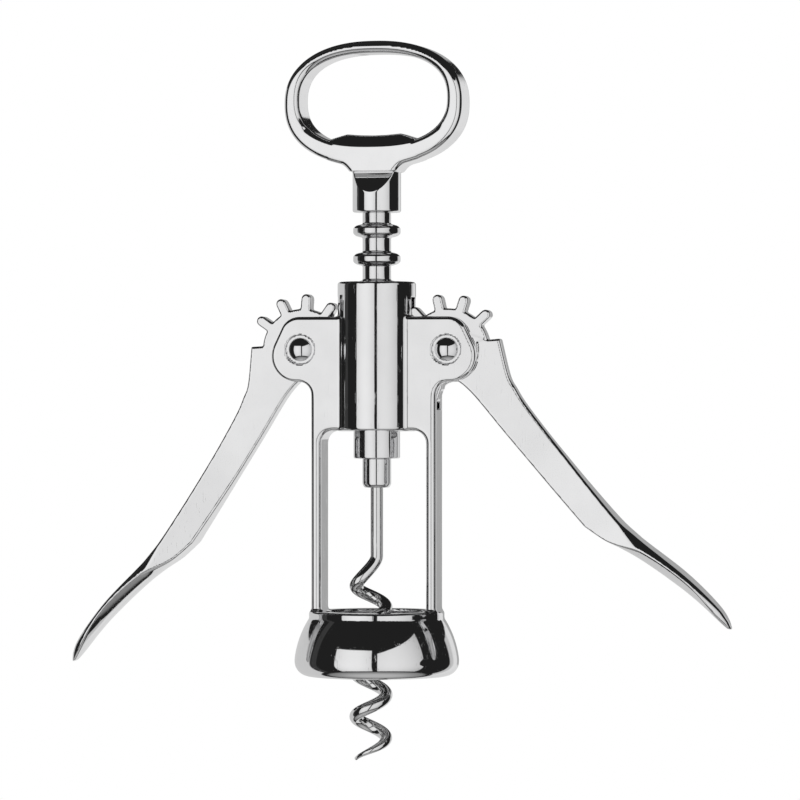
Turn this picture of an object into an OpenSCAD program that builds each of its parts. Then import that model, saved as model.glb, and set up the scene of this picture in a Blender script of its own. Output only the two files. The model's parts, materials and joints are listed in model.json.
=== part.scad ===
// Lever corkscrew: a frame with a bell, two geared levers, and a spindle with ring-shaped rack
// teeth, a ring handle and a wire worm. Millimetres, +Z up the spindle, levers in the XZ plane.
// The origin is the centre of the bell's bottom plane, where a bottle's rim seats.

/* [Pose] */
// Left lever's angle out from straight down
left_angle = 37.4; // [30:0.1:40]
// Right lever's angle out from straight down
right_angle = 45.8; // [40:0.1:48]
// Turn of the handle about the spindle's axis
handle_turn = -6; // [-30:1:30]
// Height of the pivots above the bell's bottom plane
pivot_z = 81.5; // [78:0.5:84]

/* [Tube and ears] */
// Outer diameter of the tube
tube_d = 19.6; // [18:0.2:22]
// Bore that guides the spindle
bore_d = 12.5; // [12.4:0.1:13.5]
// Underside of the tube, which is also the top of the window
tube_z0 = 61.3; // [58:0.1:63]
// Top of the tube
tube_z1 = 98.4; // [96:0.1:104]
// Front-to-back depth of ears and legs
frame_depth = 11; // [10:0.2:14]
// Gap between the front and back ear plates
ear_gap = 5.6; // [5.5:0.1:6.5]
// Lower end of the gap between the plates
slot_z0 = 66.5; // [65:0.1:67]
// Upper end of the slots in the tube's sides
slot_z1 = 94.5; // [92:0.1:96]
// Top of the ears
ear_top_z = 89.7; // [89:0.1:91]
// Distance of each pivot from the spindle's axis
pivot_x = 18.5; // [18.4:0.1:18.8]

/* [Legs and bell] */
// Outer face of each leg, from the axis
leg_x1 = 15.8; // [15.4:0.1:16.2]
// Thickness of each leg
leg_t = 2.5; // [2:0.1:3]
// Height of the bell
bell_h = 16.2; // [16:0.1:18]
// Widest radius of the bell
bell_r = 20.55; // [20.2:0.05:20.8]
// Radius of the band at the bell's top
band_r = 16.9; // [16.7:0.1:18]
// Radius of the opening at the bell's top
mouth_r = 13; // [12:0.1:13.2]
// Radius of the bottle seat inside the bell
seat_r = 15.8; // [15:0.1:16]
// Depth of the bottle seat
seat_depth = 12; // [10:0.1:13]

/* [Levers] */
// Length from pivot to tip
lever_len = 99; // [90:1:110]
// Thickness of the flat arm
arm_t = 5; // [4:0.1:5.2]
// Greatest width of the grip, front to back
grip_w = 15; // [12:0.5:18]
// Radius of the gear at the root of its teeth
gear_root_r = 10.2; // [9:0.1:10.5]
// Radius at the tips of the teeth
gear_tip_r = 13.95; // [13.9:0.05:14.2]
// Width of a tooth
tooth_w = 2.45; // [2.2:0.05:2.5]
// Angle from the arm to the last tooth
last_tooth = 86.75; // [86.5:0.05:87.25]

/* [Spindle] */
// Distance between the rack's rings
ring_pitch = 7.03; // [7.01:0.01:7.05]
// Outer diameter of a ring
ring_d = 11.8; // [11.6:0.1:12]
// Diameter of the spindle between rings
core_d = 7.1; // [6.8:0.1:7.4]
// Height of the ring next above the pivots
mesh_ring_z = 83.06; // [82.8:0.01:83.2]
// Diameter of the guide collar
collar_d = 11.6; // [11:0.1:12]
// Underside of the guide collar
collar_z0 = 54.3; // [53:0.1:56]
// Top of the guide collar
collar_z1 = 64; // [62:0.1:66]
// Diameter of the ferrule
ferrule_d = 7.15; // [6.8:0.05:8]
// Underside of the ferrule
ferrule_z0 = 47; // [46:0.1:49]

/* [Handle] */
// Width of the ring
ring_w = 46.2; // [43:0.2:47]
// Height of the ring
ring_h = 31.1; // [29:0.1:32]
// Underside of the ring
ring_z0 = 127.4; // [127.4:0.1:130]
// Front-to-back depth of the ring
ring_depth = 9.4; // [8:0.1:10]
// Diameter of the handle's collar
neck_d = 12.1; // [11.9:0.1:12.2]
// Underside of the handle's collar
neck_z0 = 115.8; // [115.6:0.1:116]
// Height of the cap-lifter lip
lip_z = 135.3; // [135:0.1:136]

/* [Worm] */
// Diameter of the wire
wire_d = 3.15; // [2.8:0.05:3.4]
// Radius of the helix at the middle of the wire
helix_r = 3.8; // [3.5:0.1:4]
// How far the helix stands off the shank's axis, to the left
helix_shift = 1.5; // [0:0.1:1.6]
// Rise of the helix in one turn
helix_pitch = 10.9; // [9:0.1:12]
// Lower end of the straight shank
helix_z1 = 30; // [28:0.5:32]
// Height of the point
tip_z = -20.6; // [-22:0.1:-18]

/* [Hidden] */
$fn = 64;

half_depth = frame_depth / 2;
run_gap = 0.05;          // radial clearance of a running fit
leg_x0 = leg_x1 - leg_t;
teeth = 8;
tooth_pitch = 30;
hub_r = 7.6;             // the lever's hub where it has no teeth
drawn_len = 99;          // lever length at which the arm's outlines are drawn
rivet_r = 2;
rivet_grip = 0.9;        // how far the rivet's end goes into its cap
head_r = 3.1;
head_h = 1.7;
dome_r = 4.3;
rim_r = 0.55;            // rounding between a head's low wall and its dome
recess_r = 3.85;
recess_depth = 0.5;
seat_y = half_depth - recess_depth;
stub_r = 2.95;           // the spindle's lower stub, inside guide collar and ferrule
plug_r = 3;              // the spindle's upper plug, inside the handle's collar
plug_z = 122;
stub_z0 = 49;
shank_z1 = 57;
rings_below = 2;
rings_above = 4;

// Points along an arc round c, from angle a0 to a1, in n steps
function arc(c, r, a0, a1, n = 8) =
    [for (i = [0:n]) let (a = a0 + (a1 - a0) * i / n) c + r * [cos(a), sin(a)]];

// Points of a superellipse with half-axes a and b about height zc
function oval(a, b, zc, n, steps = 72) =
    [for (i = [0:steps - 1])
        let (t = 360 * i / steps, c = cos(t), s = sin(t))
        [a * sign(c) * pow(abs(c), 2 / n), zc + b * sign(s) * pow(abs(s), 2 / n)]];

function flip_x(points) = [for (i = [len(points) - 1:-1:0]) [-points[i][0], points[i][1]]];

// Extrudes an outline drawn in X and Z over a depth that is centred on Y = 0
module upright(depth) {
    rotate([90, 0, 0]) linear_extrude(depth, center = true) children();
}

// ---- Frame ----

// Right half of the outline of ears, web and legs, from inside the bell up to the ears' top
function frame_side() =
    let (armpit_r = 3.2, belly_r = 6.45, belly_c = [19.45, 79.9], corner_r = 5, lean = 25)
    concat(
        [[0, bell_h - 2], [leg_x1, bell_h - 2]],
        arc([leg_x1 + armpit_r, belly_c[1] - belly_r - armpit_r], armpit_r, 180, 90, 6),
        arc(belly_c, belly_r, -90, lean, 10),
        arc([18.8, ear_top_z - corner_r], corner_r, lean, 90, 6),
        [[0, ear_top_z]]);

module window() {
    corner = 3.2;
    polygon(concat(
        [[leg_x0, bell_h - 4]],
        arc([leg_x0 - corner, tube_z0 - corner], corner, 0, 90),
        arc([corner - leg_x0, tube_z0 - corner], corner, 90, 180),
        [[-leg_x0, bell_h - 4]]));
}

// The bell turns a section whose outside is three arcs that run into each other and a straight band
module bell() {
    base_r = 3.6;
    middle_r = 10;
    side_r = 24;
    bend = 9;                // steepness at which the long side arc takes over
    chamfer = 0.4;
    middle_c = [bell_r - middle_r, base_r];
    side_c = middle_c + (middle_r - side_r) * [cos(bend), sin(bend)];
    side_a = acos((band_r - side_c[0]) / side_r);
    rotate_extrude($fn = 96) polygon(concat(
        [[seat_r + chamfer, 0]],
        arc([bell_r - base_r, base_r], base_r, -90, 0, 6),
        arc(middle_c, middle_r, bend / 2, bend, 1),
        arc(side_c, side_r, bend + (side_a - bend) / 7, side_a, 6),
        [[band_r, bell_h - chamfer], [band_r - chamfer, bell_h], [mouth_r, bell_h],
         [mouth_r, seat_depth], [seat_r, seat_depth], [seat_r, chamfer]]));
}

module frame() {
    slot_reach = 80;         // more than the width across both ears
    color("lightgray") difference() {
        union() {
            difference() {
                upright(frame_depth) polygon(concat(frame_side(), flip_x(frame_side())));
                upright(frame_depth + 1) window();
            }
            translate([0, 0, tube_z0]) cylinder(d = tube_d, h = tube_z1 - tube_z0, $fn = 96);
            bell();
        }
        translate([0, 0, tube_z0 - 1]) cylinder(d = bore_d, h = tube_z1 - tube_z0 + 2);
        translate([0, 0, (slot_z0 + slot_z1) / 2])
            cube([slot_reach, ear_gap, slot_z1 - slot_z0], center = true);
        for (side = [-1, 1]) translate([side * pivot_x, 0, pivot_z]) rotate([90, 0, 0]) {
            cylinder(r = rivet_r, h = frame_depth + 2, center = true);
            for (end = [-1, 1]) translate([0, 0, end * half_depth])
                cylinder(r = recess_r, h = 2 * recess_depth, center = true);
        }
    }
}

// ---- Pivot rivets ----

// Section of a round head that stands on z = 0: a low wall, a rounded rim and a shallow dome
module head_section() {
    lean = asin((head_r - rim_r) / (dome_r - rim_r));
    dome_z = head_h - dome_r;
    rim_z = dome_z + (dome_r - rim_r) * cos(lean);
    polygon(concat(
        [[0, 0], [head_r, 0]],
        arc([head_r - rim_r, rim_z], rim_r, 0, 90 - lean, 4),
        arc([0, dome_z], dome_r, 90 - lean * 7 / 8, 90, 7)));
}

// A rivet along -Y: its head in front of the front ear, its shank through both ears
module rivet(side) {
    color("silver") translate([side * pivot_x, 0, pivot_z]) rotate([90, 0, 0]) {
        translate([0, 0, seat_y]) rotate_extrude() head_section();
        translate([0, 0, -seat_y - rivet_grip]) cylinder(r = rivet_r, h = 2 * seat_y + rivet_grip);
    }
}

// The cap behind the back ear, with a blind hole for the rivet's end
module rivet_cap(side) {
    color("silver") translate([side * pivot_x, seat_y, pivot_z]) rotate([-90, 0, 0]) difference() {
        rotate_extrude() head_section();
        translate([0, 0, -1]) cylinder(r = rivet_r, h = rivet_grip + 1);
    }
}

// ---- Levers: drawn with the arm along +X, its outer edge towards +Y and its depth along Z ----

module tooth() {
    foot = gear_root_r - 1;
    translate([foot, -tooth_w / 2]) square([gear_tip_r - tooth_w / 2 - foot, tooth_w]);
    translate([gear_tip_r - tooth_w / 2, 0]) circle(d = tooth_w, $fn = 32);
}

// The arm seen from the front: the shoulder stands square beyond the last tooth
module arm_outline() {
    k = lever_len / drawn_len;
    shoulder = [[0, 6], [5.4, 8.75], [7.4, 11.2], [15.4, 6.1], [19, 4.9], [23, 3.9], [31, 2.7]];
    outer = [[46, 1.1], [56, 0.2], [66, 0.3], [75, 1.7], [83, 2.6], [92, 2.1]];
    inner = [[95, -0.8], [86, -1.4], [78, -2.3], [70, -3.9], [61, -6.3], [54, -7.6],
             [45, -6.9], [36, -6.2], [24, -5.1], [12, -3.9], [6, -4.4], [0, -6]];
    polygon(concat(
        [for (p = concat(shoulder, outer)) [p[0] * k, p[1]]],
        arc([lever_len - 1, 0.2], 1, 60, -60, 4),
        [for (p = inner) [p[0] * k, p[1]]]));
}

// The arm seen edge on: a flat bar that spreads into the leaf-shaped grip
module plan_outline() {
    k = lever_len / drawn_len;
    half = arm_t / 2;
    grip = grip_w / 2;
    edge = [[-16, half], [50, half], [56, half * 1.4], [63, grip * 0.74], [70, grip * 0.93],
            [77, grip], [84, grip * 0.93], [90, grip * 0.76], [95, grip * 0.5], [99, grip * 0.2]];
    polygon(concat(
        [for (p = edge) [p[0] * k, p[1]]],
        [for (i = [len(edge) - 1:-1:0]) [edge[i][0] * k, -edge[i][1]]]));
}

module lever_blank() {
    arm_h = 60;              // more than the arm's height, front view
    wedge_r = 20;            // more than the gear's radius
    notch = 28.4;            // the root circle runs on this far past the last tooth, to the shoulder
    solid_end = 218;
    difference() {
        union() {
            intersection() {
                linear_extrude(grip_w + 2, center = true) arm_outline();
                rotate([90, 0, 0]) linear_extrude(arm_h, center = true) plan_outline();
            }
            linear_extrude(arm_t, center = true) {
                circle(r = hub_r);
                intersection() {
                    circle(r = gear_root_r, $fn = 96);
                    polygon(concat([[0, 0]],
                        arc([0, 0], wedge_r, last_tooth - notch, last_tooth + solid_end, 8)));
                }
                for (i = [0:teeth - 1]) rotate(last_tooth + i * tooth_pitch) tooth();
            }
        }
        cylinder(r = rivet_r + run_gap, h = 2 * arm_t, center = true);
    }
}

// The right lever's blank turns over so that its outer edge faces away from the spindle
module lever(side, angle) {
    color("gainsboro") translate([side * pivot_x, 0, pivot_z])
        mirror([side < 0 ? 1 : 0, 0, 0])
            rotate([0, 90 - angle, 0]) rotate([90, 0, 0]) lever_blank();
}

// ---- Spindle ----

module guide_collar() {
    bevel = 0.4;
    r = collar_d / 2;
    color("silver") rotate_extrude() polygon([
        [stub_r + run_gap, collar_z0], [r - bevel, collar_z0], [r, collar_z0 + bevel],
        [r, collar_z1 - bevel], [r - bevel, collar_z1], [stub_r + run_gap, collar_z1]]);
}

// Half of one ring's section, from its lower foot to its upper foot
function ring_points(z) =
    let (foot = 1.45, edge = 0.95, round_r = 0.4, r = ring_d / 2, c = core_d / 2)
    concat([[c, z - foot]],
        arc([r - round_r, z - edge + round_r], round_r, -80, 0, 3),
        arc([r - round_r, z + edge - round_r], round_r, 0, 80, 3),
        [[c, z + foot]]);

module rack_spindle() {
    c = core_d / 2;
    top = neck_z0;
    color("silver") difference() {
        rotate_extrude() polygon(concat(
            [[0, stub_z0], [stub_r, stub_z0], [stub_r, collar_z1], [c, collar_z1]],
            [for (k = [-rings_below:rings_above], p = ring_points(mesh_ring_z + k * ring_pitch)) p],
            [[c, top], [plug_r, top], [plug_r, plug_z], [0, plug_z]]));
        translate([0, 0, stub_z0 - 1]) cylinder(d = wire_d, h = shank_z1 - stub_z0 + 1);
    }
}

module ferrule() {
    r = ferrule_d / 2;
    bevel = 0.7;
    color("silver") rotate_extrude() polygon([
        [wire_d / 2, ferrule_z0], [r - bevel, ferrule_z0], [r, ferrule_z0 + bevel],
        [r, collar_z0], [stub_r, collar_z0], [stub_r, stub_z0], [wire_d / 2, stub_z0]]);
}

// ---- Handle ----

ring_zc = ring_z0 + ring_h / 2;
band_side = 3.85;                // width of the ring's band at its sides
band_top = 3.1;
hole_half_h = 11.5;
lip_half = 6.5;                  // half the lip's width at its top
lip_foot = 10.4;                 // and at the foot of its sloping ends
lip_slope = 1.2;                 // drop of the sloping ends
lip_t = 5;                       // front-to-back thickness at the lip's top

// Right half of the web between ring and collar, up from the ring's underside
function web_side() =
    [[neck_d / 2, -1.5], [7.8, 0.5], [11.5, 1.8], [11.5, 4]];

module ring_outline() {
    web = [for (p = web_side()) [p[0], ring_z0 + p[1]]];
    lip = [[lip_foot, ring_z0], [lip_foot, lip_z - lip_slope], [lip_half, lip_z]];
    hole_zc = ring_z0 + ring_h - band_top - hole_half_h;
    difference() {
        union() {
            polygon(oval(ring_w / 2, ring_h / 2, ring_zc, 2.3));
            polygon(concat(web, flip_x(web)));
        }
        difference() {
            polygon(oval(ring_w / 2 - band_side, hole_half_h, hole_zc, 2.4));
            polygon(concat(lip, flip_x(lip)));
        }
    }
}

// Wedges that thin the lip from the ring's depth down to the lip's own thickness
module lip_bevels() {
    bevel_h = 2.9;
    half = ring_depth / 2;
    for (side = [-1, 1])
        translate([-lip_foot, 0, 0]) rotate([90, 0, 90]) linear_extrude(2 * lip_foot) polygon([
            [side * (half + 1), lip_z - bevel_h], [side * half, lip_z - bevel_h],
            [side * lip_t / 2, lip_z], [side * lip_t / 2, lip_z + 1], [side * (half + 1), lip_z + 1]]);
}

// Slanting facets that cut the collar back, front and back, up to the web's underside
module neck_facets() {
    neck_r = neck_d / 2;
    facet_z = 120.8;
    facet_y = 2.9;           // how far from the middle the facet ends
    web_z = ring_z0 - 1.5;
    for (side = [-1, 1])
        translate([-neck_r - 1, 0, 0]) rotate([90, 0, 90]) linear_extrude(neck_d + 2) polygon([
            [side * neck_r, facet_z], [side * (neck_r + 1), facet_z],
            [side * (neck_r + 1), ring_z0 + 2], [side * facet_y, ring_z0 + 2], [side * facet_y, web_z]]);
}

module handle() {
    color("silver") rotate([0, 0, handle_turn]) difference() {
        union() {
            difference() {
                upright(ring_depth) ring_outline();
                lip_bevels();
            }
            difference() {
                translate([0, 0, neck_z0]) cylinder(d = neck_d, h = ring_z0 - neck_z0 + 1);
                neck_facets();
            }
        }
        translate([0, 0, neck_z0 - 1]) cylinder(r = plug_r, h = plug_z - neck_z0 + 1);
    }
}

// ---- Worm ----

tip_angle = 209;                 // where the point stands, counted from +X
steps_per_turn = 18;
wire_sides = 10;
taper_h = 6;                     // height over which the wire thins to its point
lead_h = 7.6;                    // height over which the wire leaves the shank's axis
lead_z = helix_z1 - lead_h;
settle_h = 1.2;                  // how soon the winding dies out above the helix

// 0 below x = 0, 1 above x = 1, and a smooth rise between
function ramp(x) = x <= 0 ? 0 : x >= 1 ? 1 : x * x * (3 - 2 * x);

// Angle round the axis at height z: it winds evenly along the helix and dies out in the lead-in
function winding(z) =
    let (rate = 360 / helix_pitch, above = max(0, z - lead_z))
    tip_angle + rate * (min(z, lead_z) - tip_z + settle_h * (1 - exp(-above / settle_h)));

function wire_at(z) =
    let (a = winding(z), spread = ramp((helix_z1 - z) / lead_h))
    [spread * (helix_r * cos(a) - helix_shift), spread * helix_r * sin(a), z];

function wire_r(z) = wire_d / 2 * (0.3 + 0.7 * ramp((z - tip_z) / taper_h));

function unit(v) = v / norm(v);

// One ring of points round the wire at height z
function wire_ring(z) =
    let (a = winding(z),
         along = unit(wire_at(z + 0.01) - wire_at(z - 0.01)),
         out = [cos(a), sin(a), 0],
         u = unit(out - along * (out * along)),
         v = cross(u, along))
    [for (j = [0:wire_sides - 1])
        let (b = 360 * j / wire_sides) wire_at(z) + wire_r(z) * (cos(b) * u + sin(b) * v)];

module worm_wire() {
    steps = round((helix_z1 - tip_z) / helix_pitch * steps_per_turn);
    heights = concat([for (i = [0:steps]) tip_z + (helix_z1 - tip_z) * i / steps], [shank_z1]);
    points = [for (z = heights, p = wire_ring(z)) p];
    last = (len(heights) - 1) * wire_sides;
    sides = [for (i = [0:len(heights) - 2], j = [0:wire_sides - 1])
        let (a = i * wire_sides + j, b = i * wire_sides + (j + 1) % wire_sides)
        [a, b, b + wire_sides, a + wire_sides]];
    ends = [[for (j = [wire_sides - 1:-1:0]) j], [for (j = [0:wire_sides - 1]) last + j]];
    polyhedron(points, concat(sides, ends));
}

module worm() {
    color("silver") worm_wire();
}

frame();
rivet(-1);  // pivot_rivet_left
rivet(1);  // pivot_rivet_right
rivet_cap(-1);  // rivet_cap_left
rivet_cap(1);  // rivet_cap_right
lever(-1, left_angle);  // lever_left
lever(1, right_angle);  // lever_right
guide_collar();
rack_spindle();
handle();
ferrule();
worm();
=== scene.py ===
"""Looks for the lever corkscrew: chromed castings, turned spindle and wire worm in a soft studio.

Shapes are worked out in millimetres and turned into metres when their meshes are made.
"""
import json
import math

import bpy
import numpy as np
from mathutils import Matrix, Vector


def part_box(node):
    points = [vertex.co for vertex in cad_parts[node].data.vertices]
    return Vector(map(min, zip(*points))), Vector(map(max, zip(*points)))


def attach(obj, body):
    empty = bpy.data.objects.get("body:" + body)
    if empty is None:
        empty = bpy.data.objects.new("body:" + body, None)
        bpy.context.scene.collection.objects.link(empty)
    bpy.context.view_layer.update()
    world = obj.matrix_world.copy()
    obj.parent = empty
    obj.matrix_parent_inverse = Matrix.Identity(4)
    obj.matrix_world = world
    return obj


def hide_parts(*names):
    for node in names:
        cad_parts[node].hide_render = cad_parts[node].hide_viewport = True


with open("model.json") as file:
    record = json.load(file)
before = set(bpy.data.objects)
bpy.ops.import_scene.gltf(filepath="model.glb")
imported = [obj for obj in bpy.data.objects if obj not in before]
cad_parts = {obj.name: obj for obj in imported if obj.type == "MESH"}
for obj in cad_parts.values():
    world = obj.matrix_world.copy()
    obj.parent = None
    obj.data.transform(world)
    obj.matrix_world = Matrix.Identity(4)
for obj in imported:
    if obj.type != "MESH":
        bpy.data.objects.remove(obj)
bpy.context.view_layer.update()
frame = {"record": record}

MM = 0.001

# ---- Places read from the CAD model, in millimetres ----

def heights(node):
    """Lowest and highest point of a CAD node."""
    low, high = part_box(node)
    return round(low[2] / MM, 3), round(high[2] / MM, 3)


JOINTS = {joint["name"]: joint for joint in frame["record"]["behaviour"]["joints"]}
PIVOT = JOINTS["right_lever_pivot"]["pos_m"]
PIVOT_X, PIVOT_Z = round(PIVOT[0] / MM, 3), round(PIVOT[2] / MM, 3)
TUBE_TOP_Z = heights("frame")[1]
NECK_Z0, RING_TOP_Z = heights("handle")
STUB_Z0, PLUG_Z = heights("rack_spindle")
COLLAR_Z = heights("guide_collar")
FERRULE_Z = heights("ferrule")
SHANK_Z1 = heights("worm")[1]

# ---- Sizes, in millimetres and degrees ----

LEFT_ANGLE = 37.4        # of the left lever's arm, out from straight down
RIGHT_ANGLE = 45.8       # of the right lever's arm
HANDLE_TURN = -6.0       # of the handle about the spindle's axis
HALF_DEPTH = 5.5         # of ears and legs
EAR_GAP = 5.6            # between the front and back ears
TUBE_R = 9.8
TUBE_Z = (61.3, TUBE_TOP_Z)
BORE_R = 6.25
SLOT_Z = (66.5, 94.5)    # ends of the gap between the ears
EAR_TOP_Z = 89.7
LEG_X = (13.3, 15.8)     # inner and outer face of a leg
BELL_H = 16.2
RIVET_R = 2.0
RIVET_END = 0.9          # of a rivet's shank inside its cap
CAP_WALL = 0.85          # depth of the cap's wall round it
HEAD_R = 2.95
HEAD_H = 1.7
RECESS_R = 3.6
RECESS_DEPTH = 0.5


# ---- Outlines ----

def arc(cx, cy, r, a0, a1, n=12):
    """Points round (cx, cy) from angle a0 to a1 in degrees."""
    t = np.radians(np.linspace(a0, a1, n + 1))
    return np.column_stack([cx + r * np.cos(t), cy + r * np.sin(t)])


def outline(*pieces):
    """Joins points and arcs into one list of points."""
    return np.vstack([np.atleast_2d(np.array(p, float)) for p in pieces])


def spline(points, steps=8):
    """A smooth line through the points, which keeps its two ends."""
    p = np.array(points, float)
    p = np.vstack([2 * p[0] - p[1], p, 2 * p[-1] - p[-2]])
    t = np.linspace(0, 1, steps, endpoint=False)[:, None]
    runs = []
    for a, b, c, d in zip(p[:-3], p[1:-2], p[2:-1], p[3:]):
        curve = 2 * b + (c - a) * t + (2 * a - 5 * b + 4 * c - d) * t**2 + (3 * b - a - 3 * c + d) * t**3
        runs.append(curve / 2)
    return np.vstack(runs + [p[-2:-1]])


def mirrored(points):
    """The outline and its mirror image across x = 0, as one closed outline."""
    return np.vstack([points, (points * [-1, 1])[::-1]])


def superellipse(a, b, zc, n, steps=144):
    t = np.linspace(0, 2 * math.pi, steps, endpoint=False)
    c, s = np.cos(t), np.sin(t)
    return np.column_stack([a * np.sign(c) * abs(c) ** (2 / n), zc + b * np.sign(s) * abs(s) ** (2 / n)])


class Profile:
    """Distance to a closed outline, negative inside, kept on a fine grid and read back smoothly."""

    STEP = 0.2
    MARGIN = 4.0

    def __init__(self, points, softness=1):
        points = np.array(points, float)
        self.low = points.min(0) - self.MARGIN
        counts = np.ceil((np.ptp(points, axis=0) + 2 * self.MARGIN) / self.STEP).astype(int) + 1
        self.last = counts - 1
        x = self.low[0] + self.STEP * np.arange(counts[0])[:, None]
        y = self.low[1] + self.STEP * np.arange(counts[1])[None, :]
        grid = signed_distance(x, y, points)
        for _ in range(softness):
            grid = blurred(blurred(grid, 0), 1)
        self.grid = np.pad(grid, 2, mode="edge")

    def __call__(self, x, y):
        u, du = self.place(x, 0)
        v, dv = self.place(y, 1)
        iu, fu = np.floor(u).astype(int), u - np.floor(u)
        iv, fv = np.floor(v).astype(int), v - np.floor(v)
        total = 0
        for i, wi in enumerate(cubic_weights(fu)):
            for j, wj in enumerate(cubic_weights(fv)):
                total = total + wi * wj * self.grid[iu + i + 1, iv + j + 1]
        return total + du + dv

    def place(self, value, axis):
        """Grid coordinate of a value, and how far the value lies past the grid's edge."""
        at = (value - self.low[axis]) / self.STEP
        held = np.clip(at, 0, self.last[axis] - 1e-6)
        return held, np.abs(at - held) * self.STEP


def cubic_weights(t):
    """Catmull-Rom weights of four neighbours at fraction t."""
    return (
        ((2 - t) * t - 1) * t / 2,
        ((3 * t - 5) * t * t + 2) / 2,
        ((4 - 3 * t) * t + 1) * t / 2,
        (t - 1) * t * t / 2,
    )


def blurred(grid, axis):
    """The grid after one pass of a 1-2-1 average along an axis."""
    padded = np.pad(grid, [(1, 1) if k == axis else (0, 0) for k in range(2)], mode="edge")
    n = grid.shape[axis]
    near = [np.take(padded, range(k, k + n), axis) for k in range(3)]
    return (near[0] + 2 * near[1] + near[2]) / 4


def signed_distance(x, y, points):
    """Exact distance to a closed polygon, negative inside."""
    nearest = np.inf
    inside = np.zeros(np.broadcast(x, y).shape, bool)
    for (ax, ay), (bx, by) in zip(points, np.roll(points, -1, axis=0)):
        ex, ey = bx - ax, by - ay
        long = ex * ex + ey * ey
        if long < 1e-12:
            continue
        t = np.clip(((x - ax) * ex + (y - ay) * ey) / long, 0, 1)
        nearest = np.minimum(nearest, (x - ax - t * ex) ** 2 + (y - ay - t * ey) ** 2)
        if ay != by:
            crossing = ((ay > y) != (by > y)) & (x < ex * (y - ay) / ey + ax)
            inside ^= crossing
    return np.sqrt(nearest) * np.where(inside, -1, 1)


# ---- Solids as distance fields ----

def join(a, b, k):
    """Union of two solids with a fillet about k wide."""
    h = np.clip(0.5 + 0.5 * (b - a) / k, 0, 1)
    return b + (a - b) * h - k * h * (1 - h)


def common(a, b, k):
    """Intersection of two solids with an edge rounded over about k."""
    return -join(-a, -b, k)


def cut(a, b, k):
    """Solid a without solid b."""
    return common(a, -b, k)


def plate(flat, across, half, r):
    """A flat shape given thickness: its edges are rounded at radius r."""
    q = flat + r
    w = np.abs(across) - half + r
    return np.minimum(np.maximum(q, w), 0) + np.hypot(np.maximum(q, 0), np.maximum(w, 0)) - r


def ramp(t):
    t = np.clip(t, 0, 1)
    return t * t * (3 - 2 * t)


# ---- From a field to a mesh ----

CORNERS = [(i, j, k) for i in (0, 1) for j in (0, 1) for k in (0, 1)]
EDGES = [(a, b) for a in range(8) for b in range(a + 1, 8) if bin(a ^ b).count("1") == 1]


def surface_net(field, low, high, step):
    """Points and four-sided faces on the field's zero surface inside a box."""
    axes = [np.arange(low[k], high[k] + step, step) for k in range(3)]
    d = field(*np.meshgrid(*axes, indexing="ij", sparse=True))
    inside = d < 0
    n = np.array(d.shape) - 1
    count = sum(inside[i:n[0] + i, j:n[1] + j, k:n[2] + k].astype(np.int8) for i, j, k in CORNERS)
    cells = np.argwhere((count > 0) & (count < 8))
    index = -np.ones(n, int)
    index[tuple(cells.T)] = np.arange(len(cells))
    value = [d[cells[:, 0] + i, cells[:, 1] + j, cells[:, 2] + k] for i, j, k in CORNERS]
    place = np.zeros((len(cells), 3))
    hits = np.zeros(len(cells))
    for a, b in EDGES:
        crossed = (value[a] < 0) != (value[b] < 0)
        t = np.where(crossed, value[a] / np.where(crossed, value[a] - value[b], 1), 0)
        ca, cb = np.array(CORNERS[a]), np.array(CORNERS[b])
        place += crossed[:, None] * (ca + t[:, None] * (cb - ca))
        hits += crossed
    points = np.array(low) + step * (cells + place / hits[:, None])
    return points, net_faces(inside, index)


def net_faces(inside, index):
    """One face for each grid edge whose ends lie on different sides."""
    faces = []
    for axis in range(3):
        u, v = [k for k in range(3) if k != axis]
        here = np.take(inside, range(inside.shape[axis] - 1), axis)
        there = np.take(inside, range(1, inside.shape[axis]), axis)
        at = np.argwhere(here != there)
        keep = (at[:, u] > 0) & (at[:, v] > 0)
        keep &= (at[:, u] < index.shape[u]) & (at[:, v] < index.shape[v])
        at = at[keep]
        quad = []
        for su, sv in ((-1, -1), (0, -1), (0, 0), (-1, 0)):
            cell = at.copy()
            cell[:, u] += su
            cell[:, v] += sv
            quad.append(index[tuple(cell.T)])
        quad = np.column_stack(quad)
        flip = here[tuple(at.T)] == (axis == 1)
        quad[flip] = quad[flip][:, ::-1]
        faces.append(quad)
    return np.vstack(faces)


def gradient(field, p, eps=0.04):
    """Slope of the field at each point."""
    slopes = []
    for k in range(3):
        step = np.zeros(3)
        step[k] = eps
        slopes.append((field(*(p + step).T) - field(*(p - step).T)) / (2 * eps))
    return np.column_stack(slopes)


def settle(field, points, step, rounds=3):
    """Moves the points onto the field's zero surface, and returns them with their outward directions."""
    start = points.copy()
    for _ in range(rounds):
        g = gradient(field, points)
        size = np.maximum((g * g).sum(1), 0.1)
        points = points - (field(*points.T) / size)[:, None] * g
        points = start + np.clip(points - start, -step, step)
    g = gradient(field, points)
    return points, g / np.maximum(np.linalg.norm(g, axis=1), 1e-9)[:, None]


def solid(name, field, low, high, step, place=None):
    """A smooth object made from a distance field, moved by place into the row frame."""
    points, faces = surface_net(field, low, high, step)
    points, normals = settle(field, points, step)
    if place is not None:
        turn = np.array(place.to_3x3())
        points = points @ turn.T + np.array(place.translation)
        normals = normals @ turn.T
        if np.linalg.det(turn) < 0:
            faces = faces[:, ::-1]
    return mesh_object(name, points, faces, normals)


def mesh_object(name, points, faces, normals=None):
    """An object in metres from points in millimetres."""
    mesh = bpy.data.meshes.new(name)
    mesh.from_pydata((points * MM).tolist(), [], [list(f) for f in faces])
    mesh.update()
    mesh.shade_smooth()
    if normals is not None:
        mesh.normals_split_custom_set_from_vertices(normals.tolist())
    made = bpy.data.objects.new(name, mesh)
    bpy.context.scene.collection.objects.link(made)
    return made


# ---- Frame ----

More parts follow.
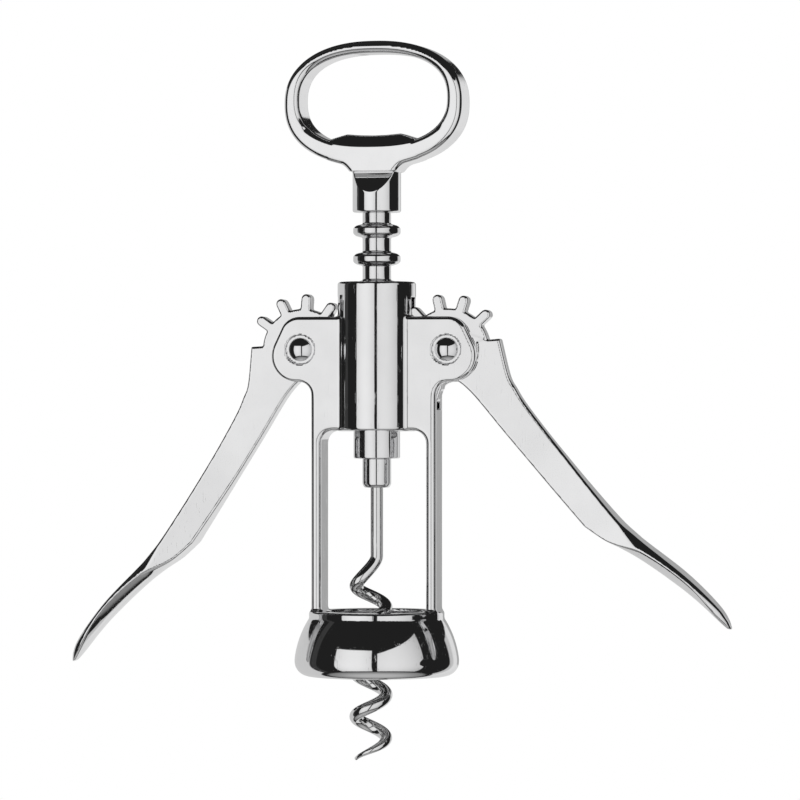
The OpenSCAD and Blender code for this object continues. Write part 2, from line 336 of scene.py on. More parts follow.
def frame_outline():
    """Ears, web and legs seen from the front."""
    foot_z = BELL_H - 2      # inside the bell
    web_r, side_r, top_r, side_end = 3.2, 6.45, 5, 25
    return mirrored(outline(
        (0, foot_z), (LEG_X[1], foot_z),
        arc(LEG_X[1] + web_r, 70.25, web_r, 180, 90),
        arc(19.45, 79.9, side_r, -90, side_end, 20),
        arc(18.8, EAR_TOP_Z - top_r, top_r, side_end, 90),
        (0, EAR_TOP_Z),
    ))


def window_outline():
    corner = 3.2
    top = TUBE_Z[0] - corner
    side = LEG_X[0] - corner
    return outline(
        (LEG_X[0], 0), arc(side, top, corner, 0, 90), arc(-side, top, corner, 90, 180), (-LEG_X[0], 0),
    )


def bell_outline():
    """Section of the bell, from its axis side out."""
    bell_r, band_r = 20.55, 16.9
    base_r, mid_r, side_r = 3.6, 10, 24
    bend = 9
    seat_r, seat_depth, mouth_r = 15.8, 12, 13
    seat_bevel, band_bevel = 0.3, 0.4
    base = arc(bell_r - base_r, base_r, base_r, -90, 0)
    mid = arc(bell_r - mid_r, base_r, mid_r, 1, bend, 6)
    side_x = mid[-1, 0] - side_r * math.cos(math.radians(bend))
    side_z = mid[-1, 1] - side_r * math.sin(math.radians(bend))
    top = math.degrees(math.acos((band_r - side_x) / side_r))
    return outline(
        (seat_r + seat_bevel, 0), base, mid, arc(side_x, side_z, side_r, bend + 1, top, 24),
        (band_r, BELL_H - band_bevel), (band_r - band_bevel, BELL_H), (mouth_r, BELL_H),
        (mouth_r, seat_depth), (seat_r, seat_depth), (seat_r, seat_bevel),
    )


def make_frame():
    ears = Profile(frame_outline())
    window = Profile(window_outline())
    bell = Profile(bell_outline())
    ear_edge, leg_edge, tube_edge = 1.0, 1.22, 0.7
    bore_edge, hole_edge, recess_edge = 0.3, 0.2, 0.25
    tube_fillet, bell_fillet = 0.8, 1.0
    leg_top, blend_h = 74, 6
    bore_z0 = 40             # between the bell and the tube
    slot_mid = (SLOT_Z[0] + SLOT_Z[1]) / 2
    slot_half = (SLOT_Z[1] - SLOT_Z[0]) / 2
    tube_mid = (TUBE_Z[0] + TUBE_Z[1]) / 2
    tube_half = (TUBE_Z[1] - TUBE_Z[0]) / 2

    def field(x, y, z):
        r = np.hypot(x, y)
        edge = ear_edge + (leg_edge - ear_edge) * ramp((leg_top - z) / blend_h)
        sides = plate(np.maximum(ears(x, z), -window(x, z)), y, HALF_DEPTH, edge)
        tube = plate(r - TUBE_R, z - tube_mid, tube_half, tube_edge)
        d = join(sides, tube, tube_fillet)
        d = join(d, bell(r, z), bell_fillet)
        d = cut(d, np.maximum(r - BORE_R, bore_z0 - z), bore_edge)
        slot = np.maximum(np.abs(y) - EAR_GAP / 2, np.abs(z - slot_mid) - slot_half)
        d = cut(d, slot, bore_edge)
        pivot = np.hypot(np.abs(x) - PIVOT_X, z - PIVOT_Z)
        d = cut(d, pivot - RIVET_R, hole_edge)
        recess = np.maximum(pivot - RECESS_R, HALF_DEPTH - RECESS_DEPTH - np.abs(y))
        return cut(d, recess, recess_edge)

    low, high, step = (-26.5, -21.5, -0.6), (26.5, 21.5, 99.2), 0.42
    return solid("frame_casting", field, low, high, step)


# ---- Levers, worked out with the arm along +X, its outer edge towards +Y and its depth along Z ----

GEAR_ROOT_R = 10.2
GEAR_TIP_R = 13.95
TOOTH_W = 2.5
HUB_R = 7.6
LAST_TOOTH = 86.75
TEETH = 8
TOOTH_PITCH = 30
ARM_HALF = 2.5

# The arm seen from the front: out along its outer edge, back along the grip's underside and its inner edge
OUTER_EDGE = [(7.4, 11.1), (15.4, 6.1), (19, 4.9), (23, 3.9), (31, 2.7), (40, 1.6), (50, 0.5), (60, -0.3),
              (66, -0.15), (70, 0.25), (75, 0.9), (80, 1.45), (85, 1.7), (90, 1.65), (94, 1.35), (97, 0.7)]
BELLY_EDGE = [(98.0, -1.1), (94, -1.2), (90, -1.3), (85, -1.65), (80, -2.3), (75, -3.1), (70, -4.1),
              (65, -5.4), (60, -6.7), (55.3, -7.6)]
INNER_EDGE = [(55.3, -7.6), (45, -6.9), (36, -6.2), (24, -5.1), (12, -3.9), (6, -4.4), (0, -6)]
# Distance from the pivot, and half the arm's depth there
PLAN_HALF = [(22, 2.5), (29, 2.5), (36, 2.62), (43, 3.3), (50, 4.15), (57, 5.0), (64, 5.9), (71, 6.85),
             (77, 7.4), (83, 7.15), (90, 5.75), (95, 3.8), (98.5, 1.7)]
CROWN_R = 75.0           # of the grip's top, front to back
BELLY_R = 9.5            # of the grip's underside


def arm_outline():
    foot, tip = [(0, 6), (5.4, 8.75)], (99.2, -0.3)
    return outline(foot, spline(OUTER_EDGE), tip, spline(BELLY_EDGE), spline(INNER_EDGE))


def gear_outline():
    """Toothed sector: straight-sided teeth with round tips on the root circle."""
    notch = 28.4             # degrees of root circle between the shoulder and the last tooth
    end_gap = 8              # degrees of root circle beyond the tooth at the other end
    runs = [(0.0, 0.0)]
    tip = GEAR_TIP_R - TOOTH_W / 2
    foot = math.degrees(math.asin(TOOTH_W / 2 / GEAR_ROOT_R))
    runs += list(arc(0, 0, GEAR_ROOT_R, LAST_TOOTH - notch, LAST_TOOTH - foot, 4))
    for i in range(TEETH):
        at = LAST_TOOTH + i * TOOTH_PITCH
        c, s = math.cos(math.radians(at)), math.sin(math.radians(at))
        runs += list(arc(tip * c, tip * s, TOOTH_W / 2, at - 90, at + 90, 12))
        gap = end_gap if i == TEETH - 1 else TOOTH_PITCH - foot
        runs += list(arc(0, 0, GEAR_ROOT_R, at + foot, at + gap, 5))
    return np.array(runs)


def along(u, start, end):
    """0 before start, 1 past end, and a smooth rise between."""
    return ramp((u - start) / (end - start))


def make_lever(name, side, angle):
    arm = Profile(arm_outline())
    gear = Profile(gear_outline(), softness=2)
    plan_u, plan_w = spline(PLAN_HALF).T
    arm_edge, grip_edge, tip_edge = 0.9, 2.4, 1.2
    crown_span, edge_span, belly_span, tip_span = (48, 68), (60, 68), (61, 70), (84, 96)
    tip_flattens = 0.35      # share of the belly's roundness lost at the tip
    belly_edge, hub_edge, hole_edge = 0.5, 0.5, 0.2
    gear_fillet, hub_fillet = 0.6, 0.5
    play = 0.05              # round the rivet

    def field(u, v, w):
        side_face = np.abs(w) - np.interp(u, plan_u, plan_w)
        tip = along(u, *tip_span)
        crowned = arm(u, v + along(u, *crown_span) * w**2 / (2 * CROWN_R))
        belly = along(u, *belly_span) * (1 - tip_flattens * tip)
        bellied = arm(u, v - belly * w**2 / (2 * BELLY_R))
        held_edge = grip_edge + (tip_edge - grip_edge) * tip
        edge = arm_edge + along(u, *edge_span) * (held_edge - arm_edge)
        blade = common(common(crowned, side_face, edge), bellied, belly_edge)
        hub = join(np.hypot(u, v) - HUB_R, gear(u, v), gear_fillet)
        d = join(blade, plate(hub, w, ARM_HALF, hub_edge), hub_fillet)
        return cut(d, np.hypot(u, v) - RIVET_R - play, hole_edge)

    tilt = Matrix.Rotation(math.radians(90 - angle), 4, "Y") @ Matrix.Rotation(math.radians(90), 4, "X")
    flip = Matrix.Diagonal((side, 1, 1, 1))
    place = Matrix.Translation((side * PIVOT_X, 0, PIVOT_Z)) @ flip @ tilt
    low, high, step = (-14.6, -14.6, -8.2), (100.2, 14.6, 8.2), 0.36
    return solid(name, field, low, high, step, place)


# ---- Handle ----

RING_HALF = (23.1, 15.55)
RING_Z0 = round(RING_TOP_Z - 2 * RING_HALF[1], 3)
HOLE_HALF = (19.25, 11.5)
BEVEL_HALF = (21, 11.8)
RING_POWER, HOLE_POWER, BEVEL_POWER = 2.3, 2.4, 2.5
HOLE_ZC = 143.9
RING_DEPTH = 9.4
LIP_Z = 135.3
NECK_R = 6.05
PLUG_R = 3.0


def ring_outline():
    return superellipse(*RING_HALF, RING_Z0 + RING_HALF[1], RING_POWER)


def flare_outline():
    return mirrored(outline(
        (NECK_R + 0.1, RING_Z0 - 6), (NECK_R + 0.1, RING_Z0 - 1.4), (8.0, RING_Z0 + 0.7),
        (11.5, RING_Z0 + 1.9), (12.5, RING_Z0 + 5),
    ))


def lip_outline():
    """The lip's sloping ends, and its top with a slight dip in the middle."""
    return mirrored(outline(
        (11, RING_Z0), (11, LIP_Z - 1.3), (7, LIP_Z), (3.5, LIP_Z - 0.3), (0, LIP_Z - 0.4),
    ))


def make_handle():
    ring = Profile(ring_outline())
    hole = Profile(superellipse(*HOLE_HALF, HOLE_ZC, HOLE_POWER))
    flare = Profile(flare_outline(), softness=2)
    lip = Profile(lip_outline(), softness=2)
    bevel = Profile(superellipse(*BEVEL_HALF, HOLE_ZC, BEVEL_POWER), softness=2)
    bevel_slope, bevel_span = 0.72, (136, 142)
    ring_edge, top_edge, top_span = 1.4, 2.0, (146, 154)
    facet_z, facet_y = 120.8, 2.9
    lip_edge, neck_edge, sharp_edge, facet_edge, corner = 0.5, 0.5, 0.3, 0.25, 0.2
    web_fillet, neck_fillet = 1.2, 0.4
    bevel_scale, facet_scale = 0.8, 0.85    # make a slope's value near to a distance
    half = RING_DEPTH / 2
    web_z0 = RING_Z0 - 1.5
    neck_mid = (NECK_Z0 + RING_Z0) / 2 + 1
    neck_half = (RING_Z0 - NECK_Z0) / 2 + 1
    facet_slope = (NECK_R - facet_y) / (web_z0 - facet_z)

    def field(x, y, z):
        body = join(ring(x, z), flare(x, z), web_fillet)
        opening = common(hole(x, z), -lip(x, z), lip_edge)
        edge = ring_edge + (top_edge - ring_edge) * along(z, *top_span)
        d = plate(np.maximum(body, -opening), y, half, edge)
        d = common(d, web_z0 - z, sharp_edge)
        reach = half + bevel_slope * bevel(x, z) + half * along(z, *bevel_span)
        d = common(d, (np.abs(y) - reach) * bevel_scale, sharp_edge)
        r = np.hypot(x, y)
        neck = plate(r - NECK_R, z - neck_mid, neck_half, neck_edge)
        facet = np.abs(y) - NECK_R + (z - facet_z) * facet_slope
        neck = common(neck, facet * facet_scale, facet_edge)
        d = join(d, neck, neck_fillet)
        return cut(d, np.maximum(r - PLUG_R, z - PLUG_Z), corner)

    place = Matrix.Rotation(math.radians(HANDLE_TURN), 4, "Z")
    low, high, step = (-23.7, -6.6, 115.2), (23.7, 6.6, 159.1), 0.3
    return solid("handle_casting", field, low, high, step, place)


# ---- Turned pieces ----

def lathe(name, profile, place=None, sides=128):
    """Turns an open profile of (radius, height) points about Z."""
    profile = np.array(profile, float)
    turns = np.linspace(0, 2 * math.pi, sides, endpoint=False)
    ring = np.column_stack([np.cos(turns), np.sin(turns)])
    points, first, faces = [], [], []
    for r, z in profile:
        first.append(len(points))
        if r < 1e-6:
            points.append((0, 0, z))
        else:
            points += [(r * c, r * s, z) for c, s in ring]
    for a, b, (ra, _), (rb, _) in zip(first, first[1:], profile, profile[1:]):
        for j in range(sides):
            k = (j + 1) % sides
            if ra < 1e-6:
                faces.append((a, b + k, b + j))
            elif rb < 1e-6:
                faces.append((a + j, a + k, b))
            else:
                faces.append((a + j, a + k, b + k, b + j))
    points = np.array(points)
    if place is not None:
        points = points @ np.array(place.to_3x3()).T + np.array(place.translation)
    return mesh_object(name, points, faces)


def rounded(profile, r, steps=5):
    """The profile with each inner corner cut back by r and rounded."""
    p = np.array(profile, float)
    out = [p[0]]
    for a, b, c in zip(p, p[1:], p[2:]):
        ab, bc = b - a, c - b
        la, lc = np.linalg.norm(ab), np.linalg.norm(bc)
        if la < 1e-6 or lc < 1e-6:
            continue
        back = min(r, 0.45 * la, 0.45 * lc)
        s, e = b - ab / la * back, b + bc / lc * back
        for t in np.linspace(0, 1, steps):
            out.append((1 - t) ** 2 * s + 2 * t * (1 - t) * b + t * t * e)
    return np.array(out + [p[-1]])


def dome(z0):
    """Section of a rivet's head that stands on z0: a low wall, a rounded rim and a shallow dome."""
    dome_r, rim_r = 4.0, 0.55
    turn = math.degrees(math.asin((HEAD_R - rim_r) / (dome_r - rim_r)))
    centre = HEAD_H - dome_r
    rim_z = centre + (dome_r - rim_r) * math.cos(math.radians(turn))
    rim = arc(HEAD_R - rim_r, rim_z, rim_r, 0, 90 - turn, 8)
    cap = arc(0, centre, dome_r, 90 - turn, 90, 24)[1:]
    cap[-1, 0] = 0
    return np.vstack([[(HEAD_R, 0)], rim, cap]) + [0, z0]


def make_rivet(name, side, back=False):
    """A rivet with its front head, or the cap that closes its back end."""
    seat = HALF_DEPTH - RECESS_DEPTH
    if back:
        run = [(RIVET_R, seat + CAP_WALL), (RIVET_R, seat)]
    else:
        run = [(0, -seat - RIVET_END), (RIVET_R, -seat - RIVET_END), (RIVET_R, seat)]
    turned = Matrix.Rotation(math.radians(-90 if back else 90), 4, "X")
    place = Matrix.Translation((side * PIVOT_X, 0, PIVOT_Z)) @ turned
    corner, sides = 0.15, 96
    return lathe(name, rounded(np.vstack([run, dome(seat)]), corner), place, sides)


RING_PITCH = 7.03
MESH_RING_Z = 83.06
RING_R = 5.9
CORE_R = 3.55
STUB_R = 2.95
WIRE_R = 1.575
# Radius and half thickness of a ring, from the core out
RING_SIDE = [(CORE_R, 1.7), (4.5, 1.5), (5.3, 1.25), (RING_R, 0.7)]


def rack_profile():
    """The spindle's lower stub, its core with seven rings, and the plug in the handle."""
    corner = 0.42
    first_ring, last_ring = -2, 4    # counted from the one that meshes with the levers
    run = [(0, STUB_Z0), (STUB_R, STUB_Z0), (STUB_R, COLLAR_Z[1]), (CORE_R, COLLAR_Z[1])]
    for k in range(first_ring, last_ring + 1):
        z = MESH_RING_Z + k * RING_PITCH
        run += [(r, z - h) for r, h in RING_SIDE] + [(r, z + h) for r, h in reversed(RING_SIDE)]
    run += [(CORE_R, NECK_Z0), (PLUG_R, NECK_Z0), (PLUG_R, PLUG_Z), (0, PLUG_Z)]
    return rounded(run, corner)


def collar_profile():
    play, outer, corner = 0.05, 5.8, 0.4
    inner = STUB_R + play
    low, high = COLLAR_Z
    seam = (inner, low + 0.6)
    return rounded([seam, (inner, low), (outer, low), (outer, high), (inner, high), seam], corner)


def ferrule_profile():
    r, bevel_r, bevel_h, corner = 3.575, 0.5, 0.9, 0.35
    low, high = FERRULE_Z
    seam = (WIRE_R, STUB_Z0)
    nose = [(WIRE_R, low), (r - bevel_r, low), (r, low + bevel_h)]
    return rounded([seam, *nose, (r, high), (STUB_R, high), (STUB_R, STUB_Z0), seam], corner)


# ---- Worm ----

HELIX_R = 3.8
HELIX_SHIFT = 1.5        # of the helix off the shank's axis, to the left
HELIX_PITCH = 10.9
HELIX_Z1 = 30.0
TIP_Z = -20.6
TIP_ANGLE = 209.0
LEAD_H = 7.6             # over which the wire leaves the shank's axis
SETTLE_H = 1.2           # over which the winding dies out above the helix
TAPER_H = 6.0            # over which the wire thins to its point
TIP_SHARE = 0.3          # of the wire's radius at the point


def wire_path(z):
    """Centre of the wire at height z: an even helix that runs out into the straight shank."""
    lead_z = HELIX_Z1 - LEAD_H
    above = np.maximum(z - lead_z, 0)
    wound = np.minimum(z, lead_z) - TIP_Z + SETTLE_H * (1 - np.exp(-above / SETTLE_H))
    angle = np.radians(TIP_ANGLE + 360 / HELIX_PITCH * wound)
    spread = ramp((HELIX_Z1 - z) / LEAD_H)
    x = spread * (HELIX_R * np.cos(angle) - HELIX_SHIFT)
    return np.column_stack([x, spread * HELIX_R * np.sin(angle), z])


def make_worm(sides=28, per_turn=72):
    steps = round((HELIX_Z1 - TIP_Z) / HELIX_PITCH * per_turn)
    shank = np.linspace(HELIX_Z1, SHANK_Z1, 40)[1:]
    levels = np.concatenate([np.linspace(TIP_Z, HELIX_Z1, steps + 1), shank])
    path = wire_path(levels)
    nudge = 0.01
    course = wire_path(levels + nudge) - wire_path(levels - nudge)
    course /= np.linalg.norm(course, axis=1)[:, None]
    radius = WIRE_R * (TIP_SHARE + (1 - TIP_SHARE) * ramp((levels - TIP_Z) / TAPER_H))
    side = np.cross(course[0], [0, 0, 1.0])
    rings = []
    turns = np.linspace(0, 2 * math.pi, sides, endpoint=False)
    for p, t, r in zip(path, course, radius):
        side = side - t * (side @ t)
        side /= np.linalg.norm(side)
        up = np.cross(t, side)
        rings.append(p + r * (np.cos(turns)[:, None] * side + np.sin(turns)[:, None] * up))
    return tube_object("worm_wire", rings, course[0])


def tube_object(name, rings, axis, cap_steps=6):
    """A tube through the rings. Its first end runs along axis and has a round cap, its last end is flat."""
    sides = len(rings[0])
    centre = rings[0].mean(0)
    r = np.linalg.norm(rings[0][0] - centre)
    caps = []
    for t in np.linspace(math.pi / 2, 0, cap_steps + 1)[1:-1]:
        caps.insert(0, centre + (rings[0] - centre) * math.sin(t) - axis * r * math.cos(t))
    tip = centre - axis * r
    rings = caps + rings
    points = np.vstack([tip[None]] + rings + [rings[-1].mean(0)[None]])
    faces = [(0, 1 + (j + 1) % sides, 1 + j) for j in range(sides)]
    for i in range(len(rings) - 1):
        a = 1 + i * sides
        for j in range(sides):
            k = (j + 1) % sides
            faces.append((a + j, a + k, a + sides + k, a + sides + j))
    last = 1 + (len(rings) - 1) * sides
    end = len(points) - 1
    faces += [(last + j, last + (j + 1) % sides, end) for j in range(sides)]
    return mesh_object(name, points, faces)


# ---- Materials ----

class Nodes:
    """Short calls that add nodes to a tree."""

    def __init__(self, tree):
        self.tree = tree

    def add(self, kind, **settings):
        made = self.tree.nodes.new(kind)
        for key, value in settings.items():
            setattr(made, key, value)
        return made

    def link(self, source, target):
        if isinstance(source, (int, float, tuple)):
            target.default_value = source
        else:
            self.tree.links.new(source, target)

    def math(self, operation, a, b=0.0):
        made = self.add("ShaderNodeMath", operation=operation)
        for socket, value in zip(made.inputs, (a, b)):
            self.link(value, socket)
        return made.outputs[0]

    def remap(self, value, low, high, to_low, to_high):
        """A smooth step from to_low at low to to_high at high."""
        made = self.add("ShaderNodeMapRange", interpolation_type="SMOOTHSTEP")
        for socket, v in zip(made.inputs, (value, low, high, to_low, to_high)):
            self.link(v, socket)
        return made.outputs[0]

    def noise(self, vector, scale, detail=2.0, roughness=0.5):
        made = self.add("ShaderNodeTexNoise")
        self.link(vector, made.inputs["Vector"])
        made.inputs["Scale"].default_value = scale
        made.inputs["Detail"].default_value = detail
        made.inputs["Roughness"].default_value = roughness
        return made.outputs["Fac"]


SMUDGE_SCALE = 95.0
SMUDGE_TONE = 0.96       # brightness of a smudge against clean plating
GRAIN_SCALE = 900.0
GRAIN_ROUGHNESS = 0.012
SCRATCH_SCALE = (3000.0, 3000.0, 160.0)
SCRATCH_TURN = (0.0, 0.35, 0.2)
BUMP_HEIGHT = 0.0002


def chrome(name, colour, rough=(0.03, 0.09), peel=0.05, peel_scale=260.0, scratch=0.02, seed=0.0):
    """Chrome plating: soft waves of the plating, smudges that dull it, and fine wiping scratches."""
    made = bpy.data.materials.new(name)
    made.use_nodes = True
    tree = made.node_tree
    n = Nodes(tree)
    shader = tree.nodes["Principled BSDF"]
    shader.inputs["Metallic"].default_value = 1.0
    where = n.add("ShaderNodeTexCoord").outputs["Object"]
    shift = n.add("ShaderNodeMapping")
    shift.inputs["Location"].default_value = (seed, seed * 0.7, -seed)
    n.link(where, shift.inputs["Vector"])
    at = shift.outputs["Vector"]

    smudge = n.noise(at, SMUDGE_SCALE, 3.0, 0.6)
    fine = n.noise(at, GRAIN_SCALE, 2.0, 0.5)
    dulled = n.remap(smudge, 0.45, 0.75, rough[0], rough[1])
    n.link(n.math("ADD", dulled, n.math("MULTIPLY", fine, GRAIN_ROUGHNESS)), shader.inputs["Roughness"])

    tone = n.add("ShaderNodeMix", data_type="RGBA")
    n.link(n.remap(smudge, 0.3, 0.7, 0.0, 1.0), tone.inputs["Factor"])
    tone.inputs["A"].default_value = (*colour, 1)
    tone.inputs["B"].default_value = (*(c * SMUDGE_TONE for c in colour), 1)
    n.link(tone.outputs["Result"], shader.inputs["Base Color"])

    waves = n.noise(at, peel_scale, 1.0, 0.4)
    hair = n.add("ShaderNodeTexNoise")
    stretch = n.add("ShaderNodeMapping")
    stretch.inputs["Scale"].default_value = SCRATCH_SCALE
    stretch.inputs["Rotation"].default_value = SCRATCH_TURN
    n.link(at, stretch.inputs["Vector"])
    n.link(stretch.outputs["Vector"], hair.inputs["Vector"])
    hair.inputs["Scale"].default_value = 1.0
    lines = n.remap(hair.outputs["Fac"], 0.62, 0.72, 0.0, 1.0)
    height = n.math("SUBTRACT", n.math("MULTIPLY", waves, peel), n.math("MULTIPLY", lines, scratch))
    bump = n.add("ShaderNodeBump")
    bump.inputs["Strength"].default_value = 1.0
    bump.inputs["Distance"].default_value = BUMP_HEIGHT
    n.link(height, bump.inputs["Height"])
    n.link(bump.outputs["Normal"], shader.inputs["Normal"])
    return made


def dress(obj, material):
    obj.data.materials.clear()
    obj.data.materials.append(material)


# ---- Studio ----

CAMERA_AZIMUTH = 10.5    # degrees round to the right of the front
CAMERA_DISTANCE = 1.1    # m
AIM = (5.8, 68.9)        # mm to the right of the axis in the view, and height
LENS = 198.0
FLOOR_Z = -0.056         # m
PANEL_EDGE = 0.7         # degrees over which a panel's upright edge fades, to each side


def make_camera():
    a = math.radians(CAMERA_AZIMUTH)
    data = bpy.data.cameras.new("camera")
    data.lens = LENS
    data.sensor_width = 36.0
    data.clip_start = 0.01
    data.clip_end = 20.0
    made = bpy.data.objects.new("camera", data)
    right = (math.cos(a), math.sin(a))
    back = (math.sin(a), -math.cos(a))
    x, y = (AIM[0] * MM * r + CAMERA_DISTANCE * b for r, b in zip(right, back))
    turned = Matrix.Rotation(a, 4, "Z") @ Matrix.Rotation(math.pi / 2, 4, "X")
    made.matrix_world = Matrix.Translation((x, y, AIM[1] * MM)) @ turned
    bpy.context.scene.collection.objects.link(made)
    bpy.context.scene.camera = made


def band(n, value, low, high, soft):
    """1 between low and high, 0 outside, with soft edges."""
    rise = n.remap(value, low - soft, low + soft, 0.0, 1.0)
    fall = n.remap(value, high - soft, high + soft, 1.0, 0.0)
    return n.math("MULTIPLY", rise, fall)


def bowed(n, value, centre, top, fall):
    """top at the centre, less by fall times the square of the distance from it."""
    off = n.math("SUBTRACT", value, centre)
    return n.math("SUBTRACT", top, n.math("MULTIPLY", n.math("MULTIPLY", off, off), fall))


def directions(n):
    """Degrees of turn to the right from the camera's side, and of rise from level."""
    split = n.add("ShaderNodeSeparateXYZ")
    n.link(n.add("ShaderNodeTexCoord").outputs["Generated"], split.inputs[0])
    x, y, z = split.outputs
    a = math.radians(CAMERA_AZIMUTH)
    across = n.math("ADD", n.math("MULTIPLY", x, math.cos(a)), n.math("MULTIPLY", y, math.sin(a)))
    toward = n.math("SUBTRACT", n.math("MULTIPLY", x, math.sin(a)), n.math("MULTIPLY", y, math.cos(a)))
    turn = n.math("DEGREES", n.math("ARCTAN2", across, toward))
    return turn, n.math("DEGREES", n.math("ARCSINE", z))


def left_panel(n, turn, rise):
    """The left of the two front panels. Its top bows down, and it is brightest in its middle."""
    span, top, top_bow = (-61.5, -7.0), 25.4, 0.0007
    middle, level, fall = -35.0, 0.94, 0.00026
    above = n.math("SUBTRACT", rise, bowed(n, turn, 0.0, top, top_bow))
    panel = n.math("MULTIPLY", band(n, turn, *span, PANEL_EDGE), n.remap(above, -0.5, 0.5, 1.0, 0.0))
    return n.math("MULTIPLY", panel, bowed(n, turn, middle, level, fall))


def right_panel(n, turn, rise):
    """The right front panel. Its top slants up to the right, and it is wider above and below level."""
    near, far, top, slope = (0.3, 1.7), (62.0, 63.4), (21.0, 22.0), 0.24
    widens, wider = (2.0, 14.0), 7.0
    middle, level, fall = 20.0, 0.85, 0.00013
    slant = n.math("SUBTRACT", rise, n.math("MULTIPLY", turn, slope))
    away = n.math("SUBTRACT", turn, n.remap(n.math("ABSOLUTE", rise), *widens, 0.0, wider))
    panel = n.math("MULTIPLY", n.remap(turn, *near, 0.0, 1.0), n.remap(away, *far, 1.0, 0.0))
    panel = n.math("MULTIPLY", panel, n.remap(slant, *top, 1.0, 0.0))
    return n.math("MULTIPLY", panel, bowed(n, turn, middle, level, fall))


def back_walls(n, turn, rise):
    """A wall behind on the left and a stepped one on the right, both up to a little above level."""
    left_edge, left_level = (-112.0, -106.0), 0.64
    right_edge, top = (123.0, 127.0), (14.5, 16.0)
    end_edge, end_levels = (152.0, 158.0), (0.8, 0.4)
    low_edge, low_level = (-8.0, -4.0), 0.75
    dim_edge, dim_share = (134.0, 140.0), 0.72
    left = n.math("MULTIPLY", n.remap(turn, *left_edge, 1.0, 0.0), left_level)
    right = n.remap(turn, *end_edge, *end_levels)
    right = n.math("MAXIMUM", right, n.remap(rise, *low_edge, low_level, 0.0))
    right = n.math("MULTIPLY", right, n.remap(turn, *dim_edge, dim_share, 1.0))
    right = n.math("MULTIPLY", n.remap(turn, *right_edge, 0.0, 1.0), right)
    return n.math("MULTIPLY", n.math("ADD", left, right), n.remap(rise, *top, 1.0, 0.0))


def make_world():
    """The studio that the chrome mirrors, mostly dark between its panels. The camera sees it as white."""
    world = bpy.data.worlds.new("studio")
    bpy.context.scene.world = world
    world.use_nodes = True
    tree = world.node_tree
    n = Nodes(tree)
    ground = tree.nodes["Background"]
    turn, rise = directions(n)
    front_fall = 0.00007
    grey_span, grey_level = (-105.0, -94.0), 0.045
    bottom, table_edge, darkest = (-45.5, -44.5), (-55.0, -49.0), 0.016
    table_span, table_levels = (-80.0, -50.0), (0.5, 0.22)

    front = n.math("ADD", left_panel(n, turn, rise), right_panel(n, turn, rise))
    front = n.math("MULTIPLY", front, bowed(n, rise, 0.0, 1.0, front_fall))
    grey = n.math("MULTIPLY", band(n, turn, *grey_span, PANEL_EDGE), grey_level)
    light = n.math("ADD", n.math("ADD", front, grey), back_walls(n, turn, rise))
    light = n.math("MULTIPLY", light, n.remap(rise, *bottom, 0.0, 1.0))
    table = n.remap(rise, *table_span, *table_levels)
    table = n.math("MULTIPLY", n.remap(rise, *table_edge, 1.0, 0.0), table)
    light = n.math("MAXIMUM", n.math("ADD", light, table), darkest)
    seen = n.add("ShaderNodeLightPath").outputs["Is Camera Ray"]
    ground.inputs["Color"].default_value = (1, 1, 1, 1)
    n.link(n.math("MAXIMUM", light, seen), ground.inputs["Strength"])


def make_floor():
    """A small pale table top below the lowest point that the worm reaches."""
    half = 0.2
    corners = [(-half, -half, 0), (half, -half, 0), (half, half, 0), (-half, half, 0)]
    mesh = bpy.data.meshes.new("floor")
    mesh.from_pydata(corners, [], [(0, 1, 2, 3)])
    made = bpy.data.objects.new("floor", mesh)
    made.location = (0, 0, FLOOR_Z)
    bpy.context.scene.collection.objects.link(made)
    material = bpy.data.materials.new("floor_pale")
    material.use_nodes = True
    n = Nodes(material.node_tree)
    shader = material.node_tree.nodes["Principled BSDF"]
    shader.inputs["Roughness"].default_value = 0.8
    grain = n.noise(n.add("ShaderNodeTexCoord").outputs["Object"], 60.0, 4.0, 0.6)
    tone = n.add("ShaderNodeMix", data_type="RGBA")
    n.link(grain, tone.inputs["Factor"])
    tone.inputs["A"].default_value = (0.86, 0.86, 0.86, 1)
    tone.inputs["B"].default_value = (0.9, 0.9, 0.9, 1)
    n.link(tone.outputs["Result"], shader.inputs["Base Color"])
    dress(made, material)
    made.visible_glossy = False


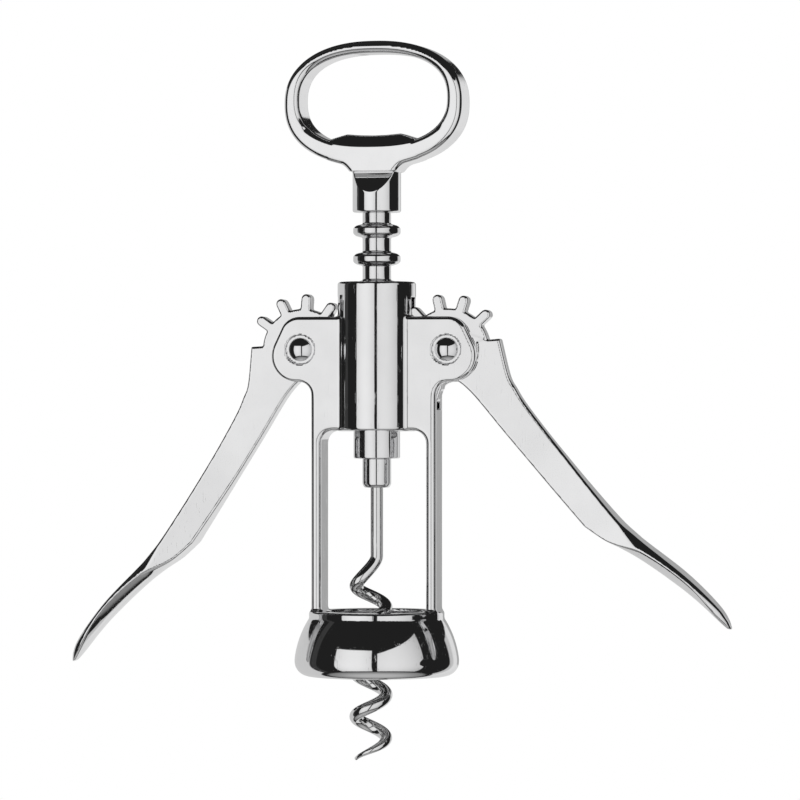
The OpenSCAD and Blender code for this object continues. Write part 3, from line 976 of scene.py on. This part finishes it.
def make_lamp():
    """One broad soft lamp overhead for the floor. The chrome doesn't mirror it."""
    data = bpy.data.lights.new("overhead", "AREA")
    data.shape = "DISK"
    data.size = 1.2
    data.energy = 16.0
    made = bpy.data.objects.new("overhead", data)
    made.location = (0.0, -0.2, 1.3)
    made.visible_glossy = False
    made.visible_camera = False
    bpy.context.scene.collection.objects.link(made)


# ---- Assembly ----

def add(obj, body, slot, material, *nodes):
    dress(obj, material)
    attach(obj, body)
    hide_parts(*nodes)


def main():
    frame_chrome = chrome("frame_chrome", (0.86, 0.86, 0.865), seed=1.3)
    lever_chrome = chrome("lever_chrome", (0.86, 0.86, 0.865), seed=2.9)
    rivet_chrome = chrome("rivet_chrome", (0.84, 0.84, 0.85), seed=4.1)
    spindle_chrome = chrome("spindle_chrome", (0.83, 0.83, 0.835), rough=(0.04, 0.13), seed=5.7)
    handle_chrome = chrome("handle_chrome", (0.87, 0.87, 0.875), seed=7.2)
    worm_wire = chrome("worm_wire", (0.8, 0.8, 0.8), rough=(0.05, 0.14), peel=0.08, seed=8.8)

    add(make_frame(), "frame", "frame_chrome", frame_chrome, "frame")
    for side, word, angle in ((-1, "left", LEFT_ANGLE), (1, "right", RIGHT_ANGLE)):
        lever = make_lever(f"lever_{word}_casting", side, angle)
        add(lever, f"{word}_lever", "lever_chrome", lever_chrome, f"lever_{word}")
        rivet = make_rivet(f"rivet_{word}", side)
        add(rivet, "frame", "rivet_chrome", rivet_chrome, f"pivot_rivet_{word}")
        cap = make_rivet(f"cap_{word}", side, back=True)
        add(cap, "frame", "rivet_chrome", rivet_chrome, f"rivet_cap_{word}")
    add(lathe("collar_turned", collar_profile()), "collar", "spindle_chrome", spindle_chrome, "guide_collar")
    add(lathe("rack_turned", rack_profile()), "spindle", "spindle_chrome", spindle_chrome, "rack_spindle")
    add(lathe("ferrule_turned", ferrule_profile()), "spindle", "spindle_chrome", spindle_chrome, "ferrule")
    add(make_handle(), "spindle", "handle_chrome", handle_chrome, "handle")
    add(make_worm(), "spindle", "worm_wire", worm_wire, "worm")
    make_camera()
    make_world()
    make_floor()
    make_lamp()
    bpy.context.scene.view_settings.view_transform = "Standard"


main()
